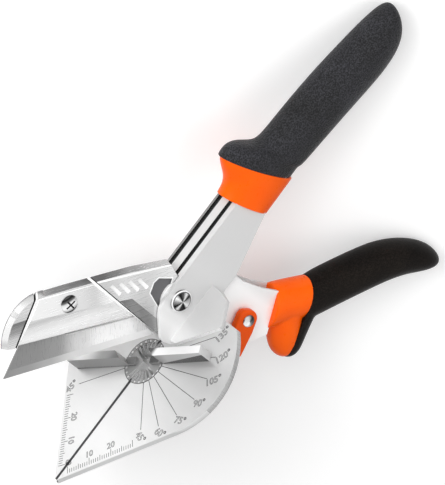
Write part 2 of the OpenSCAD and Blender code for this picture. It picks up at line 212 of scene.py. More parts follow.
def paint(piece, matrix, material, test):
    # the test gets a face's middle in millimetres and its direction, in the given frame
    if material.name not in piece.data.materials:
        piece.data.materials.append(material)
    back = matrix.inverted()
    turn = back.to_3x3()
    selectOnly(piece, "FACE", lambda face: test(back @ face.calc_center_median() / mm,
                                                (turn @ face.normal).normalized()))
    piece.active_material_index = piece.data.materials.find(material.name)
    bpy.ops.object.material_slot_assign()
    objectMode()


def slide(piece, matrix, test, move):
    # moves the points that pass the test, in a frame's own directions
    back = matrix.inverted()
    selectOnly(piece, "VERT", lambda vertex: test(back @ vertex.co / mm))
    bpy.ops.transform.translate(value=matrix.to_3x3() @ (Vector(move) * mm))
    objectMode()


def cutCorners(piece, matrix, test, width, segments=1):
    # bevels only the edges that pass the test, which gets an edge's two ends in millimetres
    back = matrix.inverted()
    selectOnly(piece, "EDGE", lambda edge: test(*(back @ vertex.co / mm for vertex in edge.verts)))
    bpy.ops.mesh.bevel(offset=width * mm, segments=segments, clamp_overlap=True)
    objectMode()


def crease(piece, matrix, spot, normal):
    # adds edges where a plane crosses a piece
    editAll(piece)
    bpy.ops.mesh.bisect(plane_co=matrix @ (Vector(spot) * mm), plane_no=matrix.to_3x3() @ normal)
    objectMode()


def stripe(piece, matrix, line, near, far, material, test):
    # paints a band beside a line, between two distances to its left
    start, end = (Vector((*point, 0)) for point in line)
    along = (end - start).normalized()
    left = Vector((-along.y, along.x, 0))
    for distance in (near, far):
        crease(piece, matrix, start + left * distance, left)
    paint(piece, matrix, material,
          lambda at, n: near < (Vector((at.x, at.y, 0)) - start).dot(left) < far and test(at, n))


def combine(piece, other, operation, **settings):
    # cuts away or adds another shape, which is used up
    apply(piece, "BOOLEAN", operation=operation, object=other, solver="EXACT", **settings)
    deselectAll()
    bpy.data.objects.remove(other)


def carve(piece, cutter):
    combine(piece, cutter, "DIFFERENCE", material_mode="TRANSFER")


def block(name, low, high, matrix, material=None, soft=0.0):
    size = [(b - a) * mm for a, b in zip(low, high)]
    middle = [(a + b) / 2 * mm for a, b in zip(low, high)]
    deselectAll()
    bpy.ops.mesh.primitive_cube_add(size=1, location=middle)
    piece = named(name, material)
    piece.scale = size
    bpy.ops.object.transform_apply(location=True, rotation=False, scale=True)
    if soft:
        softEdges(piece, soft)
    place(piece, matrix)
    return piece


def score(piece, matrix, line, width, low, material, top=9):
    # cuts a straight groove as wide as width along a line, down to a height
    start, end = line
    along = Vector(end) - Vector(start)
    spot = moved(matrix, *start) @ Matrix.Rotation(math.atan2(along.y, along.x), 4, "Z")
    carve(piece, block("groove", (0, -width / 2, low), (along.length, width / 2, top), spot, material))


def faceOutward():
    bpy.ops.mesh.select_all(action="SELECT")
    bpy.ops.mesh.normals_make_consistent(inside=False)
    objectMode()


def prism(name, outline, low, high, matrix, material=None):
    deselectAll()
    bpy.ops.mesh.primitive_circle_add(vertices=len(outline), radius=mm, fill_type="NGON")
    piece = named(name, material)
    for vertex, point in zip(piece.data.vertices, outline):
        vertex.co = (point[0] * mm, point[1] * mm, low * mm)
    editAll(piece)
    bpy.ops.mesh.extrude_region_move(TRANSFORM_OT_translate={"value": (0, 0, (high - low) * mm)})
    faceOutward()
    place(piece, matrix)
    return piece


def turnedPiece(name, profile, matrix, material=None, steps=64):
    deselectAll()
    bpy.ops.mesh.primitive_circle_add(vertices=steps, radius=profile[0][0] * mm,
                                      location=(0, 0, profile[0][1] * mm), fill_type="NGON")
    piece = named(name, material)
    editAll(piece)
    for before, after in zip(profile, profile[1:]):
        bpy.ops.mesh.extrude_region_move(
            TRANSFORM_OT_translate={"value": (0, 0, (after[1] - before[1]) * mm)})
        ratio = after[0] / before[0]
        bpy.ops.transform.resize(value=(ratio, ratio, 1), center_override=(0, 0, after[1] * mm))
    faceOutward()
    bpy.ops.object.transform_apply(location=True, rotation=False, scale=False)
    place(piece, matrix)
    return piece


def loft(name, stations, matrix, sides=32):
    # a station is x, y, tall, thick and lean, in millimetres and degrees
    first = stations[0]
    deselectAll()
    bpy.ops.mesh.primitive_circle_add(vertices=sides, radius=mm, fill_type="NGON",
                                      rotation=(0, math.radians(90), 0))
    piece = named(name)
    bpy.ops.object.transform_apply(location=True, rotation=True, scale=True)
    editAll(piece)
    bpy.ops.transform.resize(value=(1, first[2], first[3]))
    bpy.ops.transform.rotate(value=math.radians(-first[4]), orient_axis="Z", center_override=(0, 0, 0))
    bpy.ops.transform.translate(value=(first[0] * mm, first[1] * mm, 0))
    for before, after in zip(stations, stations[1:]):
        start = Vector((before[0], before[1], 0)) * mm
        end = Vector((after[0], after[1], 0)) * mm
        bpy.ops.mesh.extrude_region_move(TRANSFORM_OT_translate={"value": end - start})
        bpy.ops.transform.rotate(value=math.radians(before[4]), orient_axis="Z", center_override=end)
        bpy.ops.transform.resize(value=(1, after[2] / before[2], after[3] / before[3]), center_override=end)
        bpy.ops.transform.rotate(value=math.radians(-after[4]), orient_axis="Z", center_override=end)
    faceOutward()
    place(piece, matrix)
    return piece


def drill(piece, radius, deep, matrix, steps=64):
    # a round hole, deep millimetres each way from the frame's middle
    carve(piece, turnedPiece("hole", [(radius, -deep), (radius, deep)], matrix, None, steps))


def moulded(name, stations, matrix):
    # a loft whose stations are joined by a smooth surface
    piece = loft(name, stations, matrix)
    apply(piece, "SUBSURF", levels=2, render_levels=2)
    return piece


def merged(name, first, second, voxel, repeats):
    # two lofts grown into one moulding
    combine(first, second, "UNION")
    apply(first, "REMESH", mode="VOXEL", voxel_size=voxel * mm)
    apply(first, "SMOOTH", factor=0.5, iterations=repeats)
    pick(first)
    return named(name)


def trim(piece, matrix, cut, keepBack):
    # cuts a piece at a plane and closes it, where a cut is x, y and the plane's lean in degrees
    x, y, lean = cut
    turn = Matrix.Rotation(math.radians(lean), 3, "Z")
    normal = matrix.to_3x3() @ (turn @ Vector((1, 0, 0)))
    editAll(piece)
    bpy.ops.mesh.bisect(plane_co=matrix @ (Vector((x, y, 0)) * mm), plane_no=normal, use_fill=True,
                        clear_inner=keepBack, clear_outer=not keepBack)
    objectMode()


def attach(piece, body, replaced=(), material=None):
    if material:
        piece.data.materials.clear()
        piece.data.materials.append(material)
    deselectAll()
    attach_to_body(piece, body)
    if replaced:
        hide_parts(*replaced)
    return piece


def cadPiece(node, name, edge, body, material, segments=2):
    # a CAD piece as it is, with soft edges and one material
    piece = cadCopy(node, name)
    softEdges(piece, edge, segments)
    evenFaces(piece)
    return attach(piece, body, [node], material)


def shown(level):
    # a grey as a screen shows it, 0 to 255, as the light it stands for
    part = level / 255
    return ((part + 0.055) / 1.055) ** 2.4


def feed(node, inputs):
    # gives a node's inputs numbers, colours or other nodes' outputs
    for place, given in inputs.items():
        if isinstance(given, bpy.types.NodeSocket):
            node.id_data.links.new(given, node.inputs[place])
        else:
            node.inputs[place].default_value = given


def addNode(tree, kind, inputs=None, **settings):
    node = tree.nodes.new("ShaderNode" + kind)
    for key, value in settings.items():
        setattr(node, key, value)
    feed(node, inputs or {})
    return node


def asColour(given):
    if isinstance(given, (int, float)):
        return (given, given, given, 1)
    return given if isinstance(given, bpy.types.NodeSocket) else (*given, 1)


class Finish:
    # a material whose patterns are placed in millimetres in one frame
    def __init__(self, name, matrix=toolFrame, **inputs):
        self.material = bpy.data.materials.new(name)
        self.material.use_nodes = True
        self.tree = self.material.node_tree
        self.shader = self.tree.nodes["Principled BSDF"]
        feed(self.shader, {key.replace("_", " "): value for key, value in inputs.items()})
        back = matrix.inverted()
        self.place = self.add("Mapping", {
            "Vector": self.add("TexCoord").outputs["Object"], "Scale": (1000, 1000, 1000),
            "Rotation": back.to_euler(), "Location": back.translation * 1000}).outputs["Vector"]
        self.along = self.add("SeparateXYZ", {"Vector": self.place}).outputs

    def add(self, kind, inputs=None, **settings):
        return addNode(self.tree, kind, inputs, **settings)

    def noise(self, scale, detail=3.0, stretch=(1, 1, 1), roughness=0.5):
        place = self.add("Mapping", {"Vector": self.place, "Scale": stretch}).outputs["Vector"]
        return self.add("TexNoise", {"Vector": place, "Scale": scale, "Detail": detail,
                                     "Roughness": roughness}).outputs["Fac"]

    def cells(self, scale):
        return self.add("TexVoronoi", {"Vector": self.place, "Scale": scale}).outputs["Distance"]

    def spread(self, source, low, high, start, end):
        return self.add("MapRange", {"Value": source, "From Min": low, "From Max": high,
                                     "To Min": start, "To Max": end}).outputs["Result"]

    def ramp(self, source, stops):
        # a stop is a value of the source and the grey it gives
        first, last = stops[0][0], stops[-1][0]
        made = self.add("ValToRGB", {"Fac": self.spread(source, first, last, 0, 1)})
        made.color_ramp.interpolation = "EASE"
        elements = made.color_ramp.elements
        while len(elements) < len(stops):
            elements.new(0.5)
        for element, (at, tone) in zip(elements, stops):
            element.position = (at - first) / (last - first)
            element.color = asColour(tone)
        return made.outputs["Color"]

    def blend(self, amount, first, second, kind="MIX"):
        inputs = {0: amount, 6: asColour(first), 7: asColour(second)}
        return self.add("Mix", inputs, data_type="RGBA", blend_type=kind).outputs[2]

    def added(self, first, second):
        return self.add("Math", {0: first, 1: second}, operation="ADD").outputs[0]

    def colour(self, source):
        feed(self.shader, {"Base Color": source})

    def rough(self, source, low, high, reach=(0.3, 0.7)):
        # the source's usual reach is spread over roughness from low to high
        feed(self.shader, {"Roughness": self.spread(source, *reach, low, high)})

    def bump(self, source, distance, strength=1.0):
        height = {"Height": source, "Distance": distance * mm, "Strength": strength}
        feed(self.shader, {"Normal": self.add("Bump", height).outputs["Normal"]})


def metal(name, matrix, axis, stops, grain=(0.02, 1, 1), rough=0.3, metallic=1.0,
          streaks=0.014, depth=0.0008):
    # steel with a soft run of tone along one axis, in greys as a screen shows them, and a fine grain; on
    # most pieces that run of tone is painted reflection and painted shade
    finish = Finish(name, matrix, Metallic=metallic)
    tone = finish.ramp(finish.along[axis], [(at, shown(level)) for at, level in stops])
    brush = finish.noise(9, 4, grain)
    streak = finish.ramp(brush, [(0.3, 1 - streaks), (0.7, 1 + streaks * 0.4)])
    finish.colour(finish.blend(1.0, tone, streak, "MULTIPLY"))
    finish.rough(finish.noise(5, 2, grain), rough - 0.05, rough + 0.07)
    finish.bump(brush, depth)
    return finish.material


print("helpers ready")

grains = {"X": (0.03, 1, 1), "Y": (1, 0.03, 1), "Z": (1, 1, 0.03), "even": (1, 1, 1)}
satin = {"streaks": 0.004, "depth": 0.0002}
polished = {"streaks": 0.004, "depth": 0.0003}
ground = {"streaks": 0.006, "depth": 0.0003}

# most tone runs below are painted reflection and painted shade; the fastener, carrier and spring greys are
# near even and their own
steel = {
    # painted reflection: the plate's top lighter and darker along X
    "plate": metal(
        "plateSteel", toolFrame, "X",
        [(-55, 234), (-32, 241), (-20, 235), (-12, 228), (-2, 216), (9, 203), (22, 218), (44, 222)],
        grain=grains["Z"], rough=0.34, metallic=0.6),
    # painted shade: the plate's sides darker than its top, darkest toward +Z
    "plateSideShade": metal(
        "plateSideShadeSteel", toolFrame, "Z", [(-40, 214), (10, 206), (44, 176)],
        grain=grains["Y"], metallic=0.4, **satin),
    # painted reflection: the channel's side brighter near the pivot and darker further back
    "channel": metal(
        "channelSteel", toolFrame, "X",
        [(10, 250), (16, 248), (20, 236), (24, 216), (32, 209), (40, 212), (50, 210), (90, 210)],
        grain=grains["X"], rough=0.45, metallic=0.15),
    # painted reflection: the foot brighter near the pivot
    "foot": metal(
        "footSteel", toolFrame, "X", [(10, 234), (16, 222), (22, 206), (33, 200), (38, 200)],
        grain=grains["X"], rough=0.45, metallic=0.15),
    # painted shade: the far strip of the channel's spine, a darker grey
    "spine": metal("spineShadeSteel", toolFrame, "X", [(20, 150), (90, 130)], metallic=0.5),
    # painted shade lines: dark edges and gaps, the dark ring round the disc, the dark ring on the pivot cap
    # and a line on the blade
    "outline": metal("shadeLineSteel", toolFrame, "X", [(0, 96), (100, 104)], metallic=0.6),
    # painted reflection: the lower arm brighter near the pivot and darker toward the grip
    "arm": metal(
        "armSteel", toolFrame, "X", [(20, 250), (36, 255), (42, 250), (48, 232), (70, 216)],
        rough=0.5, metallic=0.2, streaks=0.004),
    # painted reflection: the blade holder lighter and darker along its length
    "holder": metal(
        "holderSteel", bladeFrame, "X",
        [(-3, 225), (30, 218), (42, 206), (50, 221), (58, 214), (70, 230)],
        metallic=0.6, streaks=0.01, depth=0.0006),
    # painted reflection: a dark band along the holder's top bevel, brighter at both ends
    "holderBevel": metal(
        "holderBevelSteel", bladeFrame, "X",
        [(11, 205), (14, 172), (20, 146), (30, 136), (35, 116), (40, 112), (46, 138), (54, 180),
         (62, 215), (70, 225)], rough=0.22, metallic=0.6),
    # painted highlight: the nose's bevel near white, greyer at its ends
    "noseBevel": metal(
        "noseBevelSteel", bladeFrame, "Y",
        [(15, 244), (18, 212), (21, 244), (31, 250), (34.0, 214), (36.0, 150)],
        rough=0.2, metallic=0.8, **polished),
    # painted reflection: the nose's face with a sharp dark line across it and lighter above
    "nose": metal(
        "noseSteel", bladeFrame, "Y",
        [(15, 225), (19, 205), (23, 150), (26.0, 120), (26.4, 205), (30, 216), (33, 205), (36, 175)],
        rough=0.25, metallic=0.6),
    # painted highlight: white lines on edges, bands and rims
    "rim": metal("highlightLineSteel", bladeFrame, "X", [(0, 255), (70, 255)], metallic=0.2),
    # painted shade: sloped facets darker toward the tip
    "facet": metal(
        "facetShadeSteel", bladeFrame, "X", [(46, 118), (56, 146), (64, 176)], metallic=0.6),
    # painted reflection: the blade dark toward its tip and bright toward its heel
    "blade": metal(
        "bladeSteel", bladeFrame, "X",
        [(-2, 134), (12, 138), (22, 150), (32, 214), (42, 254), (54, 255), (64, 246)],
        grain=(1, 0.04, 1), metallic=0.4, **ground),
    # painted reflection: the ground edge dark toward the tip and bright toward the heel
    "bladeEdge": metal(
        "bladeEdgeSteel", bladeFrame, "X", [(-2, 140), (8, 150), (18, 172), (30, 214), (64, 255)],
        grain=grains["Y"], rough=0.4, metallic=0.1, **ground),
    # painted reflection: the cover's top lighter and darker along X
    "cover": metal(
        "coverChrome", bladeFrame, "X", [(4, 246), (18, 242), (30, 226), (36, 214), (44, 250)],
        rough=0.22, metallic=0.6, **polished),
    # painted reflection: the cover's lower slope in light and dark bands
    "coverSlope": metal(
        "coverSlopeChrome", bladeFrame, "Y",
        [(11, 218), (14, 232), (18, 244), (21, 230), (23.6, 202), (25, 218)],
        rough=0.22, metallic=0.6, **polished),
    # painted shade: the wings' fronts darker on the left wing and lighter on the right
    "fence": metal(
        "fenceMetal", toolFrame, "Z", [(-28, 150), (-6, 160), (4, 158), (14, 206), (28, 222)],
        grain=grains["even"], rough=0.35, metallic=0.5, **satin),
    # painted reflection: dark and white bands on the wings' tops
    "fenceTopReflection": metal(
        "fenceTopReflectionMetal", toolFrame, "Z",
        [(-28, 190), (-22, 236), (-12, 160), (-6, 112), (4, 76), (7.2, 90), (9.6, 250), (28, 255)],
        grain=grains["even"], rough=0.35, metallic=0.5, **satin),
    # painted shadow under the wings
    "fenceShade": metal("fenceShade", toolFrame, "Z", [(-28, 96), (28, 84)], metallic=0.3),
    # painted light: the disc's slits a pale grey, so that they look less dark
    "slit": metal("slitMetal", toolFrame, "X", [(-8, 206), (8, 192)], metallic=0.1),
    "disc": metal(
        "discMetal", toolFrame, "X", [(-8, 160), (8, 140)],
        grain=grains["even"], rough=0.42, metallic=0.6),
    "fastener": metal("fastenerSteel", toolFrame, "X", [(0, 190), (60, 200)]),
    "carrier": metal(
        "carrierMetal", toolFrame, "X", [(-14, 110), (30, 90)], grain=grains["even"], rough=0.5),
    "spring": metal("springSteel", toolFrame, "X", [(0, 180), (60, 190)], rough=0.25),
}


def enamel(name, tone, rough=0.4):
    finish = Finish(name, Metallic=0.0)
    finish.colour(finish.blend(finish.noise(1.2, 3), [part * 0.9 for part in tone], tone))
    finish.rough(finish.noise(3, 2), rough - 0.05, rough + 0.05)
    finish.bump(finish.noise(6, 3), 0.004)
    return finish.material


inkDark = enamel("markInk", (0.03, 0.03, 0.032), 0.5)
# painted shade for the plate's slot and the head's recess
recessShade = enamel("recessPaintedShade", (0.12, 0.12, 0.125), 0.5)
# painted shade, near black, in the spine's grooves, the head's divide grooves and the screw's cross
grooveShade = enamel("groovePaintedShade", (0.002, 0.002, 0.002), 0.25)
# the head slots' own white, also a painted highlight ring on the pivot cap
slotWhiteAndHighlight = enamel("slotEnamel", (0.94, 0.94, 0.94), 0.4)
nylon = enamel("washerNylon", (0.78, 0.78, 0.74), 0.45)


def glossyPlastic(name, tone, shade):
    finish = Finish(name, Metallic=0.0, Specular_IOR_Level=0.1, Coat_Weight=0.12, Coat_Roughness=0.1)
    cloud = finish.spread(finish.noise(0.12, 2), 0.35, 0.65, 0, 1)
    finish.colour(finish.blend(cloud, tone, shade))
    finish.rough(finish.noise(0.8, 3), 0.26, 0.36)
    finish.bump(finish.noise(1.4, 3), 0.012)
    return finish.material


orange = glossyPlastic("orangePlastic", (0.97, 0.120, 0.0), (0.94, 0.105, 0.0))
latchOrange = glossyPlastic("latchOrangePlastic", (0.92, 0.10, 0.002), (0.86, 0.085, 0.002))


def leatherRubber(name, matrix, tone, warm, depth, gloss, speckle):
    # dull rubber with a leathery grain, whose pores are lighter by the speckle
    finish = Finish(name, matrix, Metallic=0.0, Specular_IOR_Level=gloss)
    pores = finish.noise(1.9, 3, roughness=0.65)
    cloud = finish.spread(finish.noise(0.07, 3), 0.35, 0.65, 0, 1)
    speck = finish.ramp(pores, [(0.42, 0.6), (0.62, speckle)])
    finish.colour(finish.blend(1.0, finish.blend(cloud, tone, warm), speck, "MULTIPLY"))
    finish.rough(pores, 0.34, 0.52)
    finish.bump(finish.added(finish.cells(1.1), pores), depth, 0.8)
    return finish.material


gripRubber = leatherRubber("gripRubber", toolFrame, (0.012, 0.012, 0.013), (0.018, 0.018, 0.021),
                           depth=0.3, gloss=0.22, speckle=2.6)
lowerRubber = leatherRubber("lowerGripRubber", gripFrame, (0.0062, 0.0050, 0.0044),
                            (0.0100, 0.0078, 0.0064), depth=0.05, gloss=0.08, speckle=1.5)


def brass(name):
    finish = Finish(name, Metallic=1.0)
    finish.colour(finish.blend(finish.noise(2, 3), (0.62, 0.43, 0.16), (0.52, 0.35, 0.12)))
    finish.rough(finish.noise(8, 2), 0.25, 0.4)
    finish.bump(finish.noise(12, 2), 0.003)
    return finish.material


bushBrass = brass("bushBrass")


def turnedChrome(name, matrix, stops):
    # chrome turned on a lathe, with a painted reflection in light and dark wedges round its middle, and
    # turned rings in its roughness and bump
    finish = Finish(name, matrix, Metallic=1.0)
    wheel = finish.add("TexGradient", {"Vector": finish.place}, gradient_type="RADIAL")
    finish.colour(finish.ramp(wheel.outputs["Fac"], [(at, shown(level)) for at, level in stops]))
    rings = finish.add("TexWave", {"Vector": finish.place, "Scale": 3.0},
                       wave_type="RINGS", rings_direction="Z")
    finish.rough(rings.outputs["Fac"], 0.16, 0.24, (0, 1))
    finish.bump(rings.outputs["Fac"], 0.003)
    return finish.material


print("finishes ready")

plate = {
    "edge": 0.28, "carrierEdge": 0.5, "screwEdge": 0.2,
    "slotHalf": 0.72, "slotEnd": 14, "slotTop": -0.2,
    "sidesFrom": -2, "sidesOut": 30,
}

# the plate's top carries a painted reflection along X
plateTop = cadCopy("cutting_plate", "plateTop", steel["plate"])
softEdges(plateTop, plate["edge"])
# paints the slot's walls and floor with painted shade
paint(plateTop, toolFrame, recessShade,
      lambda at, n: abs(at.z) < plate["slotHalf"] and at.y < plate["slotTop"]
      and at.x < plate["slotEnd"] and (abs(n.z) > 0.7 or n.y > 0.7))
# paints the plate's sides with the painted shade
paint(plateTop, toolFrame, steel["plateSideShade"],
      lambda at, n: abs(n.y) < 0.6 and at.x > plate["sidesFrom"]
      and fromDiscAxis(at) > plate["sidesOut"])
evenFaces(plateTop)
attach(plateTop, "frame", ["cutting_plate"])

cadPiece("plate_carrier", "underCarrier", plate["carrierEdge"], "frame", steel["carrier"])
cadPiece("plate_screws", "plateScrewSet", plate["screwEdge"], "frame",
         steel["fastener"])
print("plate ready")

marks = {
    "proud": 0.03, "sunk": 0.12, "point": 0.6,
    "lineWidth": 0.24, "degreeFrom": 9.0,
    "degreeLines": [(45, 29.6), (60, 31.8), (75, 33.0), (90, 34.4), (105, 34.4), (120, 34.6), (135, 32.6),
                    (-45, 30.5)],
    "numberGap": 3.4, "numberSize": 4.0, "numberLean": 35, "numberLine": 0.09,
    "tipAt": -55.5, "edgeAngle": 41.3, "ruleStart": 6.0, "ruleInset": 1.0, "ruleCount": 30,
    "tickWidth": 0.2, "tickLong": 3.0, "tickMiddle": 2.3, "tickShort": 1.7,
    "ruleNumbers": (0, 10, 20), "ruleNumberSize": 3.6, "ruleNumberInset": 5.6,
}


def plateSpot(x, z, heading):
    # a place on the plate's top whose X runs along heading, with Y up to the left of it
    return rolled(rolled(moved(toolFrame, x, 0, z), -heading, "Y"), -90, "X")


def strip(name, length, width, spot):
    # a straight mark with one pointed end
    half = width / 2
    end = length + half * marks["point"]
    return prism(name, [(0, -half), (length, -half), (end, 0), (length, half), (0, half)],
                 -marks["sunk"], marks["proud"], spot)


def joined(name, pieces):
    deselectAll()
    for piece in pieces:
        piece.select_set(True)
    bpy.context.view_layer.objects.active = pieces[0]
    bpy.ops.object.join()
    return named(name)


def number(text, size, spot):
    deselectAll()
    bpy.ops.object.text_add()
    piece = bpy.context.object
    piece.data.body = text
    piece.data.size = size * mm
    piece.data.align_x = "CENTER"
    piece.data.align_y = "CENTER"
    piece.data.fill_mode = "NONE"
    piece.data.bevel_depth = marks["numberLine"] * mm
    piece.data.bevel_resolution = 0
    piece.data.resolution_u = 4
    bpy.ops.object.convert(target="MESH")
    place(bpy.context.object, spot)
    return bpy.context.object


def headingOf(direction):
    return math.degrees(math.atan2(direction.y, direction.x))


degreeMarks = []
degreeNumbers = []
for angle, reach in marks["degreeLines"]:
    out = Vector((-math.cos(math.radians(angle)), math.sin(math.radians(angle))))
    heading = headingOf(out)
    start = out * marks["degreeFrom"]
    degreeMarks.append(strip("degreeLine", reach - marks["degreeFrom"], marks["lineWidth"],
                             plateSpot(start.x, start.y, heading)))
    spot = out * (reach + marks["numberGap"])
    upright = heading if angle > 0 else heading + 180
    degreeNumbers.append(number(str(abs(angle)) + "°", marks["numberSize"],
                                plateSpot(spot.x, spot.y, upright - marks["numberLean"])))

ruleTicks = []
ruleNumbers = []
slope = math.radians(marks["edgeAngle"])
for side in (1, -1):
    edge = Vector((math.cos(slope), side * math.sin(slope)))
    inward = Vector((edge.y, -edge.x)) * side
    tip = Vector((marks["tipAt"], 0))
    for step in range(marks["ruleCount"] + 1):
        size = "tickLong" if step % 10 == 0 else "tickMiddle" if step % 5 == 0 else "tickShort"
        at = tip + edge * (marks["ruleStart"] + step) + inward * marks["ruleInset"]
        ruleTicks.append(strip("ruleTick", marks[size], marks["tickWidth"],
                               plateSpot(at.x, at.y, headingOf(inward))))
    for step in marks["ruleNumbers"]:
        at = tip + edge * (marks["ruleStart"] + step) + inward * marks["ruleNumberInset"]
        ruleNumbers.append(number(str(step), marks["ruleNumberSize"],
                                  plateSpot(at.x, at.y, headingOf(edge * side))))

for name, pieces in (("degreeMarks", degreeMarks), ("degreeNumbers", degreeNumbers),
                     ("ruleTicks", ruleTicks), ("ruleNumbers", ruleNumbers)):
    attach(joined(name, pieces), "frame", (), inkDark)
print("marks ready")

fence = {
    "discEdge": 0.12, "slitReach": 7.9, "slitTop": -0.15,
    "ringHole": 7.8, "ringRim": 9.0, "ringTop": 0.14, "ringGaps": 12, "gapHalf": 0.45,
    # the shade ring is a thin dark ring round the disc, laid as painted shade
    "shadeRingHole": 9.02, "shadeRingRim": 9.3, "shadeRingTop": 0.12, "shadeRingGapHalf": 0.5,
    "edge": 0.22, "lift": 0.04, "turn": 26.8, "chamfer": 1.0,
    # shade gives each wing's sloping line, below which a painted shadow is laid
    "shade": {"rightWing": ((8, 0.2), (28, 4.4)), "leftWing": ((-28, 0.9), (-8, 0.5))},
    "pinEdge": 0.12,
}

disc = cadCopy("slit_disc", "turnDisc", steel["disc"])
softEdges(disc, fence["discEdge"], 1)
# paints the slits with the painted light
paint(disc, toolFrame, steel["slit"],
      lambda at, n: at.y < fence["slitTop"] and fromDiscAxis(at) < fence["slitReach"])
evenFaces(disc)
attach(disc, "fence", ["slit_disc"])


def flatRing(name, hole, rim, top, material, gapHalf, gaps, holeSteps):
    # a thin ring on the plate, with gaps cut right across it at even turns
    low, middle, deep = 0.02, 5, 1
    ring = turnedPiece(name, [(rim, low), (rim, top), (middle, top)], discFrame, material, 96)
    drill(ring, hole, deep, discFrame, holeSteps)
    for count in range(gaps):
        carve(ring, block("gap", (-12, -gapHalf, -deep), (12, gapHalf, 2),
                          rolled(discFrame, 180 / gaps * count)))
    evenFaces(ring)
    return ring


ring = flatRing("discRing", fence["ringHole"], fence["ringRim"], fence["ringTop"], steel["disc"],
                fence["gapHalf"], fence["ringGaps"], 64)
attach(ring, "fence")
# a dark ring round the disc, in painted shade
shadeRing = flatRing("discShadeRing", fence["shadeRingHole"], fence["shadeRingRim"], fence["shadeRingTop"], steel["outline"],
                fence["shadeRingGapHalf"], 1, 96)
attach(shadeRing, "frame")

wingFrame = rolled(toolFrame, fence["turn"], "Y")
for node, name in (("fence_left", "leftWing"), ("fence_right", "rightWing")):
    # the wing's metal carries the painted shade of its front
    wing = cadCopy(node, name, steel["fence"])
    corners = [wingFrame.inverted() @ vertex.co / mm for vertex in wing.data.vertices]
    front = min(at.x for at in corners) + 0.1
    high = max(at.y for at in corners) - 0.1
    slide(wing, toolFrame, lambda at: at.y < 0.05, (0, fence["lift"], 0))
    cutCorners(wing, wingFrame, lambda *ends: all(at.x < front and at.y > high for at in ends),
               fence["chamfer"])
    softEdges(wing, fence["edge"])
    # paints the painted reflection on the wing's top
    paint(wing, toolFrame, steel["fenceTopReflection"], lambda at, n: n.y > 0.9)
    # paints a painted shadow under the wing, below a sloping line
    (near, nearHigh), (far, farHigh) = fence["shade"][name]
    climb = (farHigh - nearHigh) / (far - near)
    crease(wing, wingFrame, (0, nearHigh, near), Vector((0, 1, -climb)).normalized())
    paint(wing, wingFrame, steel["fenceShade"],
          lambda at, n: at.y < nearHigh + (at.z - near) * climb - 0.02
          and abs(n.y) < 0.9 and abs(n.z) < 0.5)
    evenFaces(wing)
    attach(wing, "fence", [node])
cadPiece("fence_screws", "fencePins", fence["pinEdge"], "fence", steel["fastener"], 1)
print("fence ready")

spine = {
    "grooves": [(-3.8, 1.1), (2.45, 1.0)],
    "from": 28.0, "to": 90.0, "top": 16.1, "depth": 0.7, "grooveEdge": 0.35, "edge": 0.4,
    "toe": [((10.6, 5.5), (-1.2, -0.5)), ((12, 0), (-1.1, 0))],
    "round": [(9.4, 5.0), (17.2, 14), (20.5, 15.8)],
    "roundWidth": 2.6, "roundSteps": 5,
    # farEdge bounds the painted shade on the spine's far strip, and rimEnd the painted highlight on the
    # channel's front edges
    "sidesHalf": 7, "footTop": 3, "farEdge": -4.92, "rimEnd": 30,
}


# the channel's steel carries a painted reflection, bright near the pivot
channel = cadCopy("upper_channel", "frameChannel", steel["channel"])
# the spine's grooves are filled with painted shade
for middle, half in spine["grooves"]:
    carve(channel, block("groove", (spine["from"], spine["top"] - spine["depth"], middle - half),
                         (spine["to"], spine["top"] + 2, middle + half), toolFrame, grooveShade,
                         spine["grooveEdge"]))
for spot, move in spine["toe"]:
    slide(channel, toolFrame, lambda at: nearSpot(at, [spot]) and abs(at.z) < spine["sidesHalf"],
          (*move, 0))
cutCorners(channel, toolFrame,
           lambda one, other: abs(one.z - other.z) > 0.3 and nearSpot(one, spine["round"])
           and nearSpot(other, spine["round"]), spine["roundWidth"], spine["roundSteps"])
softEdges(channel, spine["edge"], 3)
# paints the foot's top with a painted reflection
paint(channel, toolFrame, steel["foot"], lambda at, n: n.y > 0.7 and at.y < spine["footTop"])
# paints the spine's far strip with the painted shade
paint(channel, toolFrame, steel["spine"],
      lambda at, n: n.y > 0.7 and at.z < spine["farEdge"] and spine["from"] < at.x < spine["to"])
# paints painted shade lines on the edges turned downward
paint(channel, toolFrame, steel["outline"], lambda at, n: 0.15 < n.z < 0.97 and n.y < -0.25)
# paints painted highlight on the edges facing the head
paint(channel, toolFrame, steel["rim"],
      lambda at, n: 0.15 < n.z < 0.97 and n.x < -0.3 and n.y > -0.75 and at.x < spine["rimEnd"])
evenFaces(channel)
attach(channel, "frame", ["upper_channel"])

# a turned profile is radius and height, and a painted sheen's stop is a part of a turn and a grey
pivot = {
    "cap": [(4.4, 6.0), (4.4, 6.6), (4.3, 6.75), (3.95, 6.9), (3.85, 6.8), (3.7, 6.8), (3.6, 7.0),
            (1.6, 7.5), (0.3, 7.6), (0.05, 7.6)],
    # a ring of painted shade and a ring of painted highlight on the cap
    "paintedShadeRing": (3.6, 3.92, 6.7),
    "paintedHighlightRing": (3.92, 4.36, 6.62),
    "shank": [(2.5, -8.2), (2.5, 6.1), (2.2, 6.1)],
    # sheen is the cap's painted reflection, in wedges round its middle
    "sheen": [(0, 255), (0.08, 60), (0.18, 20), (0.24, 255), (0.36, 200), (0.45, 40), (0.52, 255),
              (0.6, 90), (0.68, 20), (0.76, 255), (0.86, 170), (0.94, 40), (1, 255)],
    "nutEdge": 0.35,
}

# the cap's chrome carries a painted reflection in wedges
pivotSheen = turnedChrome("pivotChrome", pivotFrame, pivot["sheen"])
cap = turnedPiece("pivotCap", pivot["cap"], pivotFrame, pivotSheen)
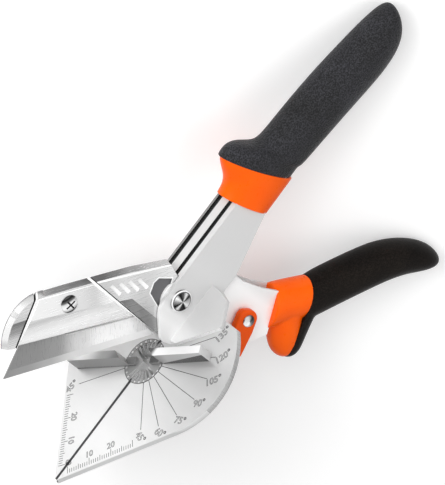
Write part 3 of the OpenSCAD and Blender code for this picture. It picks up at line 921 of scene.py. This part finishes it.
# paints a dark painted shade ring and a white painted highlight ring round the cap
for ringName, material in (("paintedShadeRing", steel["outline"]), ("paintedHighlightRing", slotWhiteAndHighlight)):
    inside, outside, low = pivot[ringName]
    paint(cap, pivotFrame, material, lambda at, n: inside < flatGap(at) < outside and at.z > low)
shank = turnedPiece("pivotShank", pivot["shank"], pivotFrame, None, 48)
bolt = joined("pivotBolt", [cap, shank])
smooth(bolt)
attach(bolt, "frame", ["pivot_bolt"])
cadPiece("pivot_nut", "pivotNut", pivot["nutEdge"], "frame", steel["fastener"])
print("upper frame ready")

blade = {
    "outline": [(-1.2, 1.8), (64, 0), (49, 19), (9, 19)],
    "half": 0.35, "ground": 3.1, "edgeBack": 0.3,
    "notches": [(24, 19.2), (40, 19.2)], "notchRadius": 2.2,
    # shade and shadeBand give a painted shade line on the blade under the cover
    "shade": [(0.5, 15.75), (53.4, 12.1)], "shadeBand": (-0.5, 0.1),
}
(tipX, tipY), (heelX, heelY) = blade["outline"][:2]
rise = (heelY - tipY) / (heelX - tipX)


def overEdge(at):
    # a point's height over the cutting edge
    return at.y - tipY - (at.x - tipX) * rise


# the blade's steel carries a painted reflection
knife = prism("cuttingBlade", blade["outline"], -blade["half"], blade["half"], bladeFrame, steel["blade"])
for spot in blade["notches"]:
    drill(knife, blade["notchRadius"], 2, moved(bladeFrame, *spot), 32)
crease(knife, bladeFrame, (tipX, tipY + blade["ground"], 0), Vector((-rise, 1, 0)).normalized())
slide(knife, bladeFrame, lambda at: overEdge(at) < 0.1 and at.z > 0, (0, 0, -blade["edgeBack"]))
# paints the ground edge with its painted reflection
paint(knife, bladeFrame, steel["bladeEdge"],
      lambda at, n: overEdge(at) < blade["ground"] and n.z > 0.3)
# paints the painted shade line under the cover
stripe(knife, bladeFrame, blade["shade"], *blade["shadeBand"], steel["outline"], lambda at, n: n.z > 0.9)
attach(knife, "blade_arm", ["blade"])

cover = {
    "outline": [(3.0, 15.9), (12.2, 33.3), (36.4, 32.0), (53.6, 12.4)],
    "low": 0.4, "high": 4.45, "edge": 0.45,
    "ridge": [(10.6, 25.0), (45.1, 21.6)], "slopeUnder": 19, "drop": 0.9,
}
(ridgeX, ridgeY), (ridgeEndX, ridgeEndY) = cover["ridge"]
ridgeRise = (ridgeEndY - ridgeY) / (ridgeEndX - ridgeX)

# the cover's chrome carries a painted reflection
clamp = prism("bladeCover", cover["outline"], cover["low"], cover["high"], bladeFrame, steel["cover"])
crease(clamp, bladeFrame, (ridgeX, ridgeY, 0), Vector((-ridgeRise, 1, 0)).normalized())
slide(clamp, bladeFrame, lambda at: at.y < cover["slopeUnder"] and at.z > 2, (0, 0, -cover["drop"]))
softEdges(clamp, cover["edge"], 1, 30)
# paints the painted reflection on the lower slope
paint(clamp, bladeFrame, steel["coverSlope"],
      lambda at, n: n.z > 0.9 and at.y < ridgeY - 0.1 + (at.x - ridgeX) * ridgeRise)
# paints painted highlight on the chamfers, except the lowest
paint(clamp, bladeFrame, steel["rim"], lambda at, n: 0.3 < n.z < 0.95 and n.y > -0.85 and at.z > 2)
evenFaces(clamp, 30)
attach(clamp, "blade_arm", ["blade_cover"])

# lines and outlines are in the blade's frame, and a band is two distances to a line's left; the bands, the
# recess rim and the bevel edges from rimFrom on are painted highlight, and the recess and facet are painted
# shade
holder = {
    "top": 4.2, "edge": 0.3, "rimFrom": 12.8,
    "noseCentre": (13.2, 16.4), "noseReach": (16.5, 18.9), "noseFlat": 2.2, "noseSteps": 12,
    "noseBack": [(2.0, 15.7), (11.9, 33.1), (15.4, 33.1)],
    "noseLow": 2.1, "noseBevel": 1.7, "noseEdge": 0.2,
    "slotsFrom": (45.6, 26.4), "slotStep": (3.93, -0.33), "slotCount": 4,
    "slotSize": (1.5, 6.2), "slotLean": 37, "slotDepth": 0.35, "slotEdge": 0.15,
    "recess": [(60.6, 20.2), (62.3, 23.9), (64.5, 25.3), (70.2, 23.4), (68.4, 19.0), (66.4, 16.0),
               (64.0, 13.0)],
    "recessDepth": 0.7,
    "recessRim": [(59.9, 20.4), (61.8, 24.5), (64.2, 25.9), (70.6, 23.9), (68.4, 19.0), (66.4, 16.0),
                  (64.1, 12.2)],
    "recessRimDepth": 0.12,
    "facet": [(47.2, 21.2), (52.6, 20.5), (62.9, 8.8), (63.0, 2.4), (61.4, 4.2)],
    "facetDepth": 0.25,
    "frontDivide": [(1.5, 14.8), (12.6, 36.9)],
    "frontBand": (-1.05, -0.3), "frontGroove": 0.7,
    "rearDivide": [(33.6, 36.8), (62.6, 2.6)],
    "rearBand": (-1.1, -0.2), "rearGroove": 0.36, "grooveLow": 2.0,
    "rearBevel": [(36.2, 32.2), (67.0, 29.6)], "rearBevelBand": (-0.45, 0.4),
}


def noseOutline():
    # a quarter of an ellipse round the nose's front corner, with a short flat at its top
    (x, y), (reachX, reachY) = holder["noseCentre"], holder["noseReach"]
    turns = [math.pi / 2 * step / holder["noseSteps"] for step in range(holder["noseSteps"] + 1)]
    arc = [(x - reachX * math.sin(turn), y + reachY * math.cos(turn)) for turn in turns]
    return [(arc[0][0] + holder["noseFlat"], arc[0][1])] + arc


def onNoseTop(*ends):
    return all(at.z > 4 and nearSpot(at, noseOutline(), 0.1) for at in ends)


# the head's steel carries a painted reflection
head = cadCopy("blade_holder", "bladeHead", steel["holder"])
# paints the painted reflection band on the head's top bevel
paint(head, bladeFrame, steel["holderBevel"], lambda at, n: n.z > 0.4 and n.y > 0.3)
softEdges(head, holder["edge"])
# paints painted highlight lines where the top bevel meets the face
paint(head, bladeFrame, steel["rim"],
      lambda at, n: 0.74 < n.z < 0.985 and n.y > 0.12 and at.x > holder["rimFrom"] and at.z > 3.9)

# the nose's bevel is a painted highlight
nose = prism("nose", noseOutline() + holder["noseBack"], holder["noseLow"], holder["top"], bladeFrame,
             steel["noseBevel"])
cutCorners(nose, bladeFrame, onNoseTop, holder["noseBevel"])
# paints the painted reflection on the nose's face
paint(nose, bladeFrame, steel["nose"], lambda at, n: n.z > 0.95)
# paints the nose's sides with the painted shade
paint(nose, bladeFrame, steel["facet"], lambda at, n: abs(n.z) < 0.3)
softEdges(nose, holder["noseEdge"])
combine(head, nose, "UNION", material_mode="TRANSFER")

for count in range(holder["slotCount"]):
    x, y = (first + count * step for first, step in zip(holder["slotsFrom"], holder["slotStep"]))
    wide, tall = holder["slotSize"]
    spot = rolled(moved(bladeFrame, x, y, holder["top"]), holder["slotLean"])
    carve(head, block("slot", (-wide / 2, -tall / 2, -holder["slotDepth"]), (wide / 2, tall / 2, 1),
                      spot, slotWhiteAndHighlight, holder["slotEdge"]))
# the recess rim is a painted highlight, the recess painted shade and the facet painted shade
for name, material in (("recessRim", steel["rim"]), ("recess", recessShade), ("facet", steel["facet"])):
    low = holder["top"] - holder[name + "Depth"]
    carve(head, prism(name, holder[name], low, 6, bladeFrame, material))

# painted highlight bands beside both divides and along the rear bevel
for side, low in (("rear", 11), ("front", 14)):
    stripe(head, bladeFrame, holder[side + "Divide"], *holder[side + "Band"], steel["rim"],
           lambda at, n: n.z > 0.4 and at.y > low)
stripe(head, bladeFrame, holder["rearBevel"], *holder["rearBevelBand"], steel["rim"],
       lambda at, n: n.z > 0.97 and at.x > 36)
# grooves along both divides, filled with painted shade
for side in ("rear", "front"):
    score(head, bladeFrame, holder[side + "Divide"], holder[side + "Groove"], holder["grooveLow"],
          grooveShade)
evenFaces(head)
attach(head, "blade_arm", ["blade_holder"])

screw = {
    "at": (25.3, 27.2),
    "profile": [(1.5, -4.0), (1.5, 4.2), (3.6, 4.2), (3.6, 4.6), (3.35, 5.0), (2.8, 5.3), (2.0, 5.55),
                (1.0, 5.65), (0.05, 5.65)],
    "edge": 0.08, "crossLeans": (32, 127), "crossHalf": (2.1, 0.36), "crossLow": 5.0,
    "sheenLean": 17,
    # sheen is a painted reflection across the dome, turned by sheenLean
    "sheen": [(-3.7, 30), (-2.6, 40), (-1.5, 220), (-0.3, 255), (1.0, 235), (2.0, 90), (2.8, 16),
              (3.4, 90), (3.7, 60)],
    "nutEdge": 0.25,
}
screwFrame = moved(bladeFrame, *screw["at"])

# painted reflection on the dome: dark at two sides, bright across the middle
screwSheen = metal("screwChrome", rolled(screwFrame, screw["sheenLean"]), "Y", screw["sheen"],
                   rough=0.15, metallic=0.7)
dome = turnedPiece("screwDome", screw["profile"], screwFrame, screwSheen)
# the cross recess is filled with painted shade
for lean in screw["crossLeans"]:
    reach, half = screw["crossHalf"]
    carve(dome, block("cross", (-reach, -half, screw["crossLow"]), (reach, half, 8),
                      rolled(screwFrame, lean), grooveShade))
softEdges(dome, screw["edge"], 1, 40)
evenFaces(dome)
attach(dome, "blade_arm", ["cover_screw"])
cadPiece("cover_nut", "coverNut", screw["nutEdge"], "blade_arm", steel["fastener"])
print("blade ready")

lowerArm = {"front": (-6.6, -1, -22), "edge": 0.35}

arm = cadCopy("lower_channel", "lowerArm")
trim(arm, gripFrame, lowerArm["front"], False)
softEdges(arm, lowerArm["edge"], 3)
evenFaces(arm)
# the lower arm's steel carries a painted reflection
attach(arm, "blade_arm", ["lower_channel"], steel["arm"])

latch = {
    "edge": 0.7,
    "rivet": [(2.2, 2.4), (2.2, 3.0), (1.6, 3.0), (1.6, 7.6), (2.5, 7.7), (2.45, 8.0), (2.2, 8.35),
              (1.7, 8.6), (0.9, 8.7), (0.05, 8.7)],
    # sheen is the rivet's painted reflection, in wedges round its middle
    "sheen": [(0, 250), (0.3, 120), (0.5, 60), (0.7, 220), (1, 250)],
}

cadPiece("latch_lever", "latchLever", latch["edge"], "latch", latchOrange, 3)
# the rivet's chrome carries a painted reflection in wedges
latchSheen = turnedChrome("rivetChrome", latchFrame, latch["sheen"])
ball = turnedPiece("latchBall", latch["rivet"], toolFrame @ Matrix.Translation((latchAt.x, latchAt.y, 0)))
smooth(ball)
attach(ball, "blade_arm", ["latch_rivet"], latchSheen)
print("lower arm ready")

# a station is x, y, tall, thick and lean, and a cut is x, y and lean
upperCollar = {
    "stations": [(66.6, 9.0, 11.4, 7.6, 13), (68.0, 9.2, 11.4, 7.7, 13), (72.2, 9.5, 11.7, 7.8, 14),
                 (75.5, 10.5, 12.8, 7.9, 15), (78.5, 12.4, 15.0, 8.0, 16), (81.6, 14.3, 17.1, 8.2, 17),
                 (86.0, 15.2, 17.8, 8.2, 17)],
    "front": (69, 7, 13),
    "back": (85.6, 4, 17),
    "rim": 0.35,
}

collar = moulded("upperCollar", upperCollar["stations"], toolFrame)
trim(collar, toolFrame, upperCollar["front"], True)
trim(collar, toolFrame, upperCollar["back"], False)
softEdges(collar, upperCollar["rim"], 3, 40)
smooth(collar, 40)
attach(collar, "frame", ["upper_collar"], orange)

upperGrip = {
    "stations": [(80.6, 15.2, 16.8, 8.0, 17), (82.8, 15.5, 17.2, 8.2, 17), (85.6, 15.7, 17.3, 8.2, 16),
                 (88.0, 14.8, 15.9, 8.2, 12), (90.2, 11.4, 12.2, 8.3, 10), (91.8, 9.8, 10.9, 8.5, 8),
                 (96, 9.2, 10.6, 8.6, 5), (106, 8.6, 10.9, 8.6, 3), (122, 7.3, 11.1, 8.6, 2),
                 (136, 5.4, 10.8, 8.6, 0), (146, 4.7, 9.8, 8.4, -3), (152.6, 4.8, 8.2, 7.6, -8),
                 (157, 5.6, 6.2, 6.2, -14), (159.4, 6.6, 3.8, 4.0, -20), (160.3, 7.2, 1.4, 1.6, -22)],
    "front": (85.6, 4, 17),
    "rim": 0.5,
}

grip = moulded("upperGrip", upperGrip["stations"], toolFrame)
trim(grip, toolFrame, upperGrip["front"], True)
softEdges(grip, upperGrip["rim"], 3, 50)
smooth(grip, 40)
attach(grip, "frame", ["upper_grip"], gripRubber)

lowerCollar = {
    "sleeve": [(-14, 0.6, 8.8, 7.2, -22), (-9, 0.9, 9.0, 7.5, -22), (-3, 0.6, 8.9, 7.8, -24),
               (4, -0.3, 8.5, 7.8, -26), (10, -1.3, 8.4, 7.8, -26), (16, -2.2, 8.4, 7.8, -26)],
    "guard": [(2, 2, 7.0, 7.0, -100), (1.2, -5, 7.6, 6.8, -98), (0.2, -11.5, 7.1, 6.5, -97),
              (-0.4, -17.0, 6.3, 5.9, -95), (-0.6, -20.8, 4.7, 4.7, -95), (-0.6, -23.0, 1.8, 2.0, -95)],
    "voxel": 0.45,
    "smoothing": 4,
    "front": (-7.2, -1, -22),
    "back": (7.4, -3, -26),
    "rim": 0.35,
}

sleeve = moulded("lowerCollar", lowerCollar["sleeve"], gripFrame)
trim(sleeve, gripFrame, lowerCollar["front"], True)
guard = moulded("collarGuard", lowerCollar["guard"], gripFrame)
sleeve = merged("lowerCollar", sleeve, guard, lowerCollar["voxel"], lowerCollar["smoothing"])
trim(sleeve, gripFrame, lowerCollar["back"], False)
softEdges(sleeve, lowerCollar["rim"], 2, 45)
smooth(sleeve, 45)
attach(sleeve, "blade_arm", ["lower_collar"], orange)

lowerGrip = {
    "body": [(3, -3.4, 8.2, 7.4, -26), (7, -2.8, 8.5, 7.6, -20), (13, -1.5, 8.7, 8.0, -9),
             (24, -0.3, 8.4, 8.0, 0), (36, 0.7, 8.3, 8.0, 0), (43, 1.0, 8.1, 8.0, -6),
             (49.5, 0.3, 7.6, 7.8, -18), (55.4, -1.2, 6.9, 7.4, -30), (60.4, -3.4, 6.2, 6.8, -41),
             (64.2, -5.8, 4.7, 5.6, -49), (66.8, -7.6, 2.8, 3.8, -53), (67.9, -8.6, 1.0, 1.4, -55)],
    "guard": [(11, 1, 6.4, 7.2, -98), (7.6, -6, 6.8, 7.0, -98), (4.0, -12.0, 6.5, 6.4, -98),
              (1.6, -17.4, 6.0, 5.8, -97), (0.9, -21.3, 4.6, 4.7, -96), (0.7, -23.8, 1.8, 2.0, -96)],
    "voxel": 0.5,
    "smoothing": 10,
    "front": (7.4, -3, -26),
    "rim": 0.5,
}

body = moulded("lowerGrip", lowerGrip["body"], gripFrame)
guard = moulded("gripGuard", lowerGrip["guard"], gripFrame)
body = merged("lowerGrip", body, guard, lowerGrip["voxel"], lowerGrip["smoothing"])
trim(body, gripFrame, lowerGrip["front"], True)
softEdges(body, lowerGrip["rim"], 2, 45)
smooth(body, 45)
attach(body, "blade_arm", ["lower_grip"], lowerRubber)
print("handles ready")

# the coil shortens as the arm swings up towards the frame; here a smooth copy stays as it is at rest and
# rides no body
coil = cadCopy("return_spring", "returnSpring", steel["spring"])
smooth(coil, 50)
deselectAll()
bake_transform(coil)
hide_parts("return_spring")

kept = {
    "pivot_washers": nylon,
    "disc_spring_washer": steel["spring"],
    "pivot_bush": bushBrass,
    "arm_rivets": steel["fastener"],
    "latch_washer": steel["fastener"],
}
for node, material in kept.items():
    for spot in frame["nodes"][node].material_slots:
        spot.material = material
print("small parts ready")

floorPlan = {"size": 6.0, "down": 0.0002, "tone": 0.92, "glow": 0.17}


def floorMaterial():
    # white paper, a little brighter to the camera than under the lamps alone
    finish = Finish("paperFloor", Metallic=0.0, Roughness=0.9)
    finish.colour(finish.blend(finish.noise(0.002, 2), floorPlan["tone"], floorPlan["tone"] * 0.99))
    paper = finish.shader.outputs[0]
    glow = finish.add("Emission", {"Strength": floorPlan["glow"]}).outputs[0]
    bright = finish.add("AddShader", {0: paper, 1: glow}).outputs[0]
    toCamera = finish.add("LightPath").outputs["Is Camera Ray"]
    chosen = finish.add("MixShader", {0: toCamera, 1: paper, 2: bright}).outputs[0]
    feed(finish.tree.nodes["Material Output"], {"Surface": chosen})
    return finish.material


deselectAll()
bpy.ops.mesh.primitive_plane_add(size=floorPlan["size"], location=(0, 0, -floorPlan["down"]))
floor = named("floor")
floor.data.materials.append(floorMaterial())

# a sky is plain for lighting, white to the camera, and from low to high in reflections
sky = {"plain": 0.6, "seen": 1.0, "low": (0.04, 0.12), "high": (0.42, 0.95)}

world = bpy.data.worlds.new("studio")
bpy.context.scene.world = world
world.use_nodes = True
air = world.node_tree
air.nodes.clear()
ray = addNode(air, "LightPath").outputs
plain = addNode(air, "Background", {"Strength": sky["plain"]}).outputs[0]
seen = addNode(air, "Background", {"Strength": sky["seen"]}).outputs[0]
around = addNode(air, "TexCoord").outputs["Generated"]
height = addNode(air, "SeparateXYZ", {0: around}).outputs["Z"]
tones = addNode(air, "ValToRGB", {"Fac": height})
for element, (at, tone) in zip(tones.color_ramp.elements, (sky["low"], sky["high"])):
    element.position = at
    element.color = asColour(tone)
mirrored = addNode(air, "Background", {"Color": tones.outputs["Color"]}).outputs[0]
lighting = addNode(air, "MixShader", {0: ray["Is Glossy Ray"], 1: plain, 2: mirrored}).outputs[0]
shownSky = addNode(air, "MixShader", {0: ray["Is Camera Ray"], 1: lighting, 2: seen}).outputs[0]
addNode(air, "OutputWorld", {"Surface": shownSky})

# directions in the tool's frame, as the camera sees them
view = {
    "right": (0.603, -0.593, 0.534),
    "up": (0.798, 0.448, -0.4035),
    "back": (0, 0.669, 0.743),
    "middle": (52.5, 2.87, -2.58),
    "distance": 6.0, "halfHeight": 0.0898, "sensor": 36,
}
viewRight, viewUp, viewBack = (toolFrame.to_3x3() @ Vector(view[way]) for way in ("right", "up", "back"))

# a lamp is across and up in the view, its height over the floor in degrees, its size and its power
lamps = {
    "distance": 1.1,
    "target": (0, 0, 0.02),
    "keyLamp": (-0.9, 1.0, 42, 0.8, 8),
    "glintLamp": (-0.9, 1.0, 42, 0.2, 1.1),
    "fillLamp": (1.0, 0.2, 60, 0.9, 3),
}


def softLamp(name):
    across, up, rise, size, power = lamps[name]
    flat = viewRight * across + viewUp * up
    flat.z = 0
    flat.normalize()
    high = math.radians(rise)
    at = (flat * math.cos(high) + Vector((0, 0, math.sin(high)))) * lamps["distance"]
    deselectAll()
    bpy.ops.object.light_add(type="AREA", location=at)
    lamp = bpy.context.object
    lamp.name = name
    lamp.data.shape = "RECTANGLE"
    lamp.data.size = size
    lamp.data.size_y = size
    lamp.data.energy = power
    lamp.rotation_euler = (Vector(lamps["target"]) - at).to_track_quat("-Z", "Y").to_euler()
    return lamp


# the steel mirrors the sky and the small glint lamp, not the key or the fill
softLamp("keyLamp").visible_glossy = False
softLamp("glintLamp")
softLamp("fillLamp").visible_glossy = False

deselectAll()
middle = toolFrame @ (Vector(view["middle"]) * mm)
bpy.ops.object.camera_add(location=middle + viewBack.normalized() * view["distance"])
camera = bpy.context.object
camera.name = "viewCamera"
camera.rotation_mode = "QUATERNION"
camera.rotation_quaternion = Matrix((viewRight, viewUp, viewBack)).transposed().to_quaternion()
camera.data.lens = view["sensor"] / 2 * view["distance"] / view["halfHeight"]
camera.data.sensor_width = view["sensor"]
camera.data.clip_start = 0.1
camera.data.clip_end = 30
bpy.context.scene.camera = camera
bpy.context.scene.view_settings.view_transform = "Standard"
print("stage ready")
